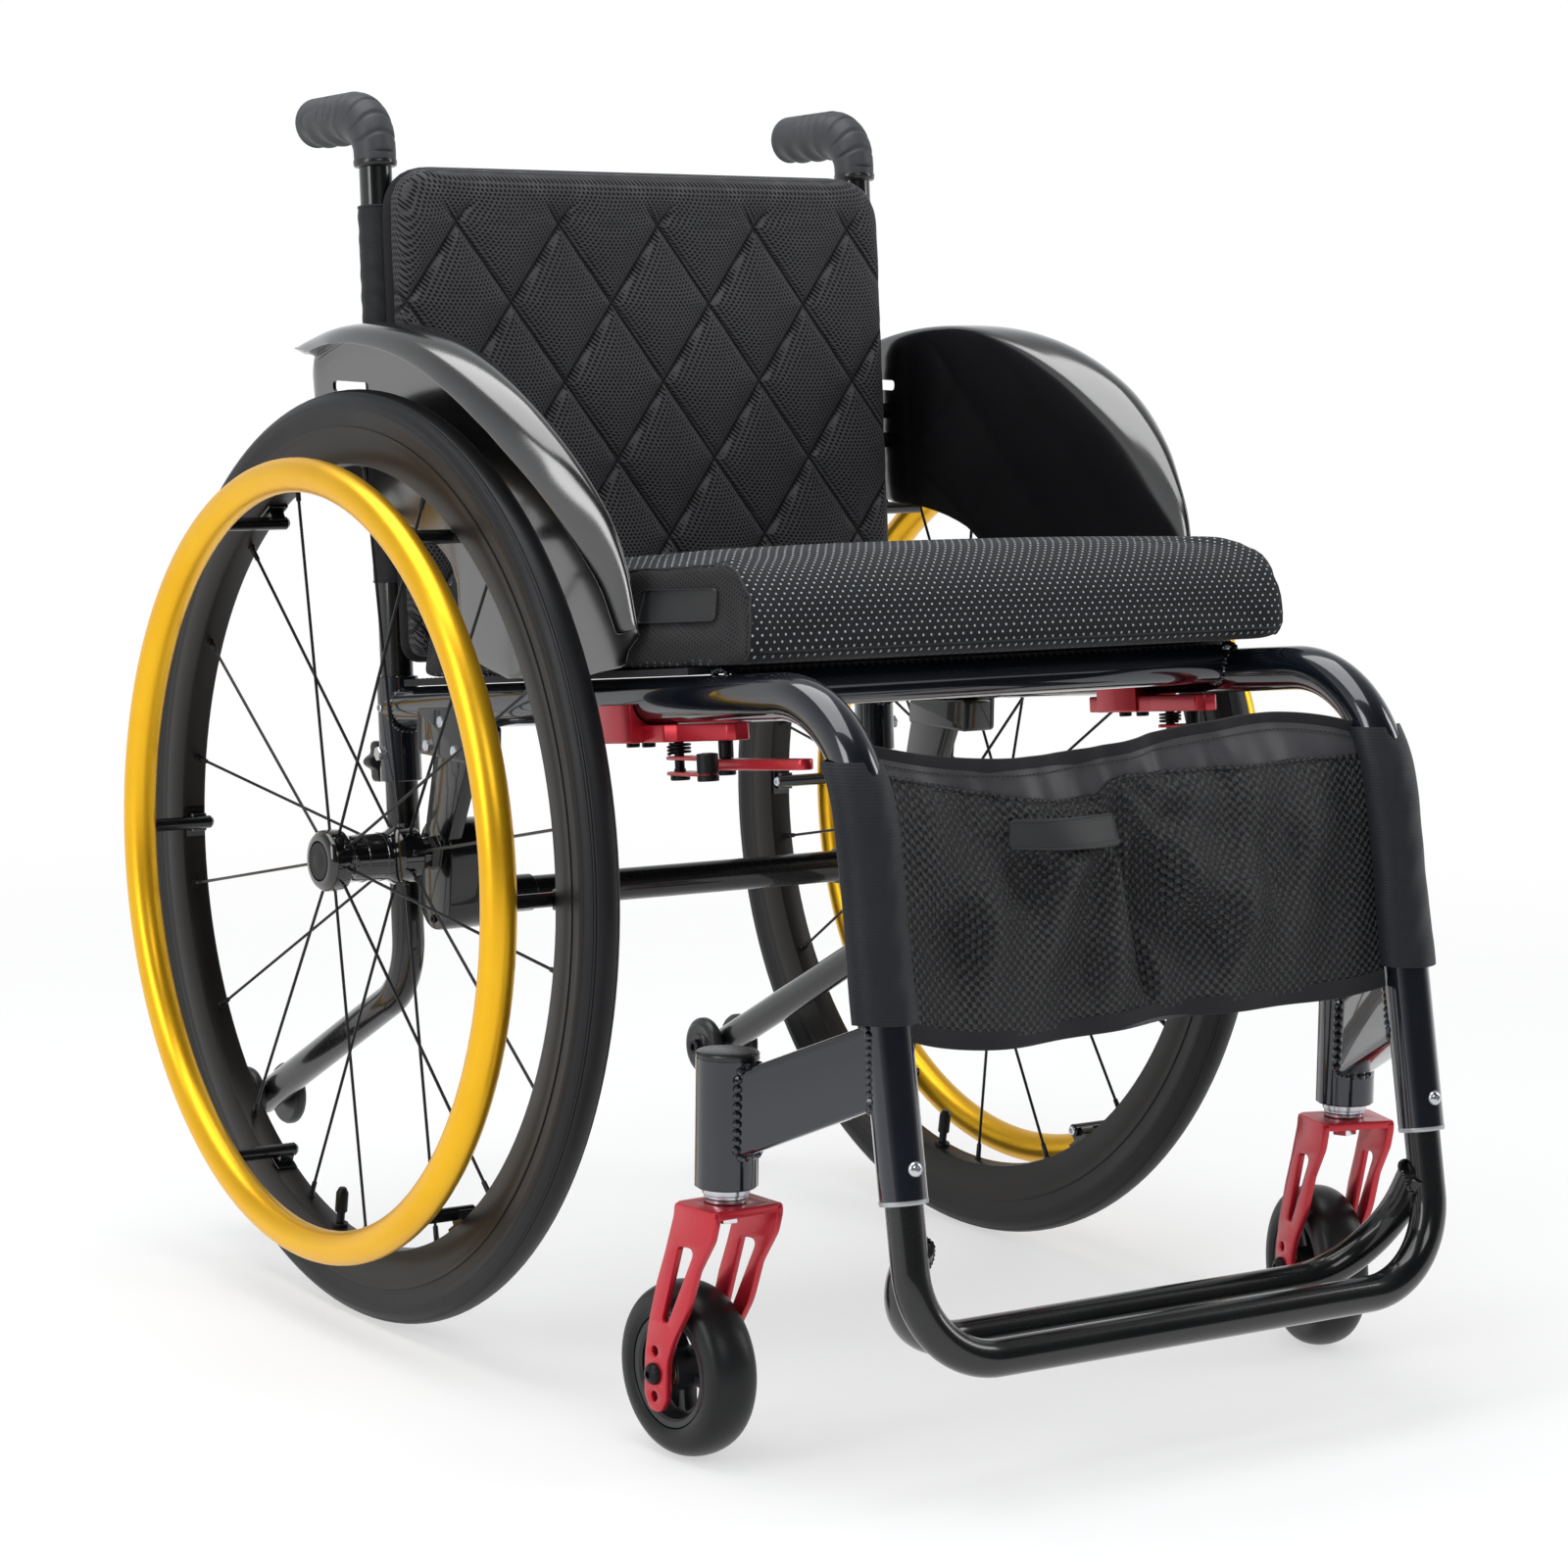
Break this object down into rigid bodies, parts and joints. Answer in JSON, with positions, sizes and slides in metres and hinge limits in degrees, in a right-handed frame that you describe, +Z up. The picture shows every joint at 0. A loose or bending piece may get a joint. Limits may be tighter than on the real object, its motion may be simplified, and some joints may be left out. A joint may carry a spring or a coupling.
{
  "type": "lightweight wheelchair",
  "caption": "Manual wheelchair with a fixed bent-tube frame, large spoked rear wheels with handrims, swivelling front casters, calf pouch, tube footrest, side guards, brakes and anti-tippers.",
  "frame": {"origin": "on the floor, at the middle of the chair's footprint", "axes": "+Z up, the sitter faces -Y, and +X is the sitter's left"},
  "size_m": [0.6066, 0.8656, 0.8037],
  "materials": {
    "navy_lacquer": "gloss",
    "black_lacquer": "gloss",
    "red_anodised": "satin",
    "gold_anodised": "satin",
    "dark_anodised": "satin",
    "steel": "satin",
    "tyre_rubber": "matte",
    "grip_rubber": "satin",
    "black_plastic": "satin",
    "black_fabric": "matte"
  },
  "bodies": {
    "chair": {"right_side_frame": "navy_lacquer", "left_side_frame": "navy_lacquer", "front_cross_tube": "navy_lacquer", "right_axle_carrier": "black_lacquer", "left_axle_carrier": "black_lacquer", "axle_crossbar": "black_lacquer", "right_quick_release_axle": "steel", "left_quick_release_axle": "steel", "right_footrest_lock_screw": "steel", "left_footrest_lock_screw": "steel", "right_back_cane": "black_lacquer", "left_back_cane": "black_lacquer", "right_grip": "grip_rubber", "left_grip": "grip_rubber", "right_back_sleeve": "black_fabric", "left_back_sleeve": "black_fabric", "right_brake_mount": "red_anodised", "left_brake_mount": "red_anodised", "right_brake_spring": "steel", "left_brake_spring": "steel", "seat_sling": "black_fabric", "seat_cushion": "black_fabric", "backrest_upholstery": "black_fabric", "calf_pouch": "black_fabric", "right_side_guard": "black_plastic", "left_side_guard": "black_plastic"},
    "right_wheel": {"right_tyre": "tyre_rubber", "right_rim": "dark_anodised", "right_pushrim": "gold_anodised", "right_hub_spokes": "dark_anodised"},
    "left_wheel": {"left_tyre": "tyre_rubber", "left_rim": "dark_anodised", "left_pushrim": "gold_anodised", "left_hub_spokes": "dark_anodised"},
    "right_button": {"right_axle_button": "black_plastic"},
    "left_button": {"left_axle_button": "black_plastic"},
    "right_caster": {"right_caster_fork": "red_anodised", "right_caster_stem": "steel", "right_caster_axle_bolt": "steel"},
    "left_caster": {"left_caster_fork": "red_anodised", "left_caster_stem": "steel", "left_caster_axle_bolt": "steel"},
    "right_caster_wheel": {"right_caster_tyre": "tyre_rubber", "right_caster_hub": "black_plastic"},
    "left_caster_wheel": {"left_caster_tyre": "tyre_rubber", "left_caster_hub": "black_plastic"},
    "foot_tube": {"footrest": "black_lacquer"},
    "right_tipper": {"right_anti_tipper": "black_lacquer"},
    "left_tipper": {"left_anti_tipper": "black_lacquer"},
    "right_outer_roller": {"right_outer_tip_wheel": "black_plastic"},
    "right_inner_roller": {"right_inner_tip_wheel": "black_plastic"},
    "left_outer_roller": {"left_outer_tip_wheel": "black_plastic"},
    "left_inner_roller": {"left_inner_tip_wheel": "black_plastic"},
    "right_knob": {"right_clamp_knob": "black_plastic"},
    "left_knob": {"left_clamp_knob": "black_plastic"},
    "right_lever": {"right_brake_lever": "red_anodised"},
    "left_lever": {"left_brake_lever": "red_anodised"},
    "right_arm": {"right_brake_arm": "red_anodised"},
    "left_arm": {"left_brake_arm": "red_anodised"}
  },
  "joints": [
    {"name": "right_wheel_spin", "type": "hinge", "parent": "chair", "child": "right_wheel", "pos_m": [-0.2493, 0.12788, 0.305], "axis": [1, 0, 0], "continuous": true},
    {"name": "left_wheel_spin", "type": "hinge", "parent": "chair", "child": "left_wheel", "pos_m": [0.2493, 0.12788, 0.305], "axis": [1, 0, 0], "continuous": true},
    {"name": "right_button_press", "type": "slide", "parent": "chair", "child": "right_button", "axis": [1, 0, 0], "range_m": [0, 0.0027], "stiffness_N_per_m": 1500, "springref_m": -0.002},
    {"name": "left_button_press", "type": "slide", "parent": "chair", "child": "left_button", "axis": [-1, 0, 0], "range_m": [0, 0.0027], "stiffness_N_per_m": 1500, "springref_m": -0.002},
    {"name": "right_caster_swivel", "type": "hinge", "parent": "chair", "child": "right_caster", "pos_m": [-0.2365, -0.28712, 0.16], "axis": [0, 0, 1], "continuous": true},
    {"name": "left_caster_swivel", "type": "hinge", "parent": "chair", "child": "left_caster", "pos_m": [0.2365, -0.28712, 0.16], "axis": [0, 0, 1], "continuous": true},
    {"name": "right_caster_spin", "type": "hinge", "parent": "right_caster", "child": "right_caster_wheel", "pos_m": [-0.23887, -0.2532, 0.052], "axis": [0.9976, 0.0698, 0], "continuous": true},
    {"name": "left_caster_spin", "type": "hinge", "parent": "left_caster", "child": "left_caster_wheel", "pos_m": [0.24616, -0.25452, 0.052], "axis": [0.9588, -0.284, 0], "continuous": true},
    {"name": "footrest_height", "type": "slide", "parent": "chair", "child": "foot_tube", "axis": [0, -0.1913, -0.9815], "range_m": [-0.012, 0.04]},
    {"name": "right_tipper_turn", "type": "hinge", "parent": "chair", "child": "right_tipper", "pos_m": [-0.1945, 0.18468, 0.3951], "axis": [0, -0.0943, -0.9955], "range_deg": [0, 45]},
    {"name": "left_tipper_turn", "type": "hinge", "parent": "chair", "child": "left_tipper", "pos_m": [0.1945, 0.18468, 0.3951], "axis": [0, 0.0943, 0.9955], "range_deg": [0, 45]},
    {"name": "right_outer_roller_spin", "type": "hinge", "parent": "right_tipper", "child": "right_outer_roller", "pos_m": [-0.2116, 0.37802, 0.0962], "axis": [1, 0, 0], "continuous": true},
    {"name": "right_inner_roller_spin", "type": "hinge", "parent": "right_tipper", "child": "right_inner_roller", "pos_m": [-0.1774, 0.37802, 0.0962], "axis": [1, 0, 0], "continuous": true},
    {"name": "left_outer_roller_spin", "type": "hinge", "parent": "left_tipper", "child": "left_outer_roller", "pos_m": [0.2116, 0.37802, 0.0962], "axis": [1, 0, 0], "continuous": true},
    {"name": "left_inner_roller_spin", "type": "hinge", "parent": "left_tipper", "child": "left_inner_roller", "pos_m": [0.1774, 0.37802, 0.0962], "axis": [1, 0, 0], "continuous": true},
    {"name": "right_knob_turn", "type": "hinge", "parent": "chair", "child": "right_knob", "pos_m": [-0.1945, 0.19646, 0.35817], "axis": [0, 0.9955, -0.0943], "continuous": true},
    {"name": "left_knob_turn", "type": "hinge", "parent": "chair", "child": "left_knob", "pos_m": [0.1945, 0.19646, 0.35817], "axis": [0, 0.9955, -0.0943], "continuous": true},
    {"name": "right_brake_lever_swing", "type": "hinge", "parent": "chair", "child": "right_lever", "pos_m": [-0.1794, -0.19488, 0.39762], "axis": [0, -0.112, -0.9937], "range_deg": [0, 58]},
    {"name": "left_brake_lever_swing", "type": "hinge", "parent": "chair", "child": "left_lever", "pos_m": [0.1794, -0.19488, 0.39762], "axis": [0, 0.112, 0.9937], "range_deg": [0, 58]},
    {"name": "right_brake_arm_swing", "type": "hinge", "parent": "chair", "child": "right_arm", "pos_m": [-0.19, -0.1597, 0.39366], "axis": [0, -0.112, -0.9937], "range_deg": [0, 61]},
    {"name": "left_brake_arm_swing", "type": "hinge", "parent": "chair", "child": "left_arm", "pos_m": [0.19, -0.1597, 0.39366], "axis": [0, 0.112, 0.9937], "range_deg": [0, 61]}
  ],
  "couplings": [
    {"joint": "right_brake_arm_swing", "follows": "right_brake_lever_swing", "ratio": 1.05},
    {"joint": "left_brake_arm_swing", "follows": "left_brake_lever_swing", "ratio": 1.05}
  ]
}
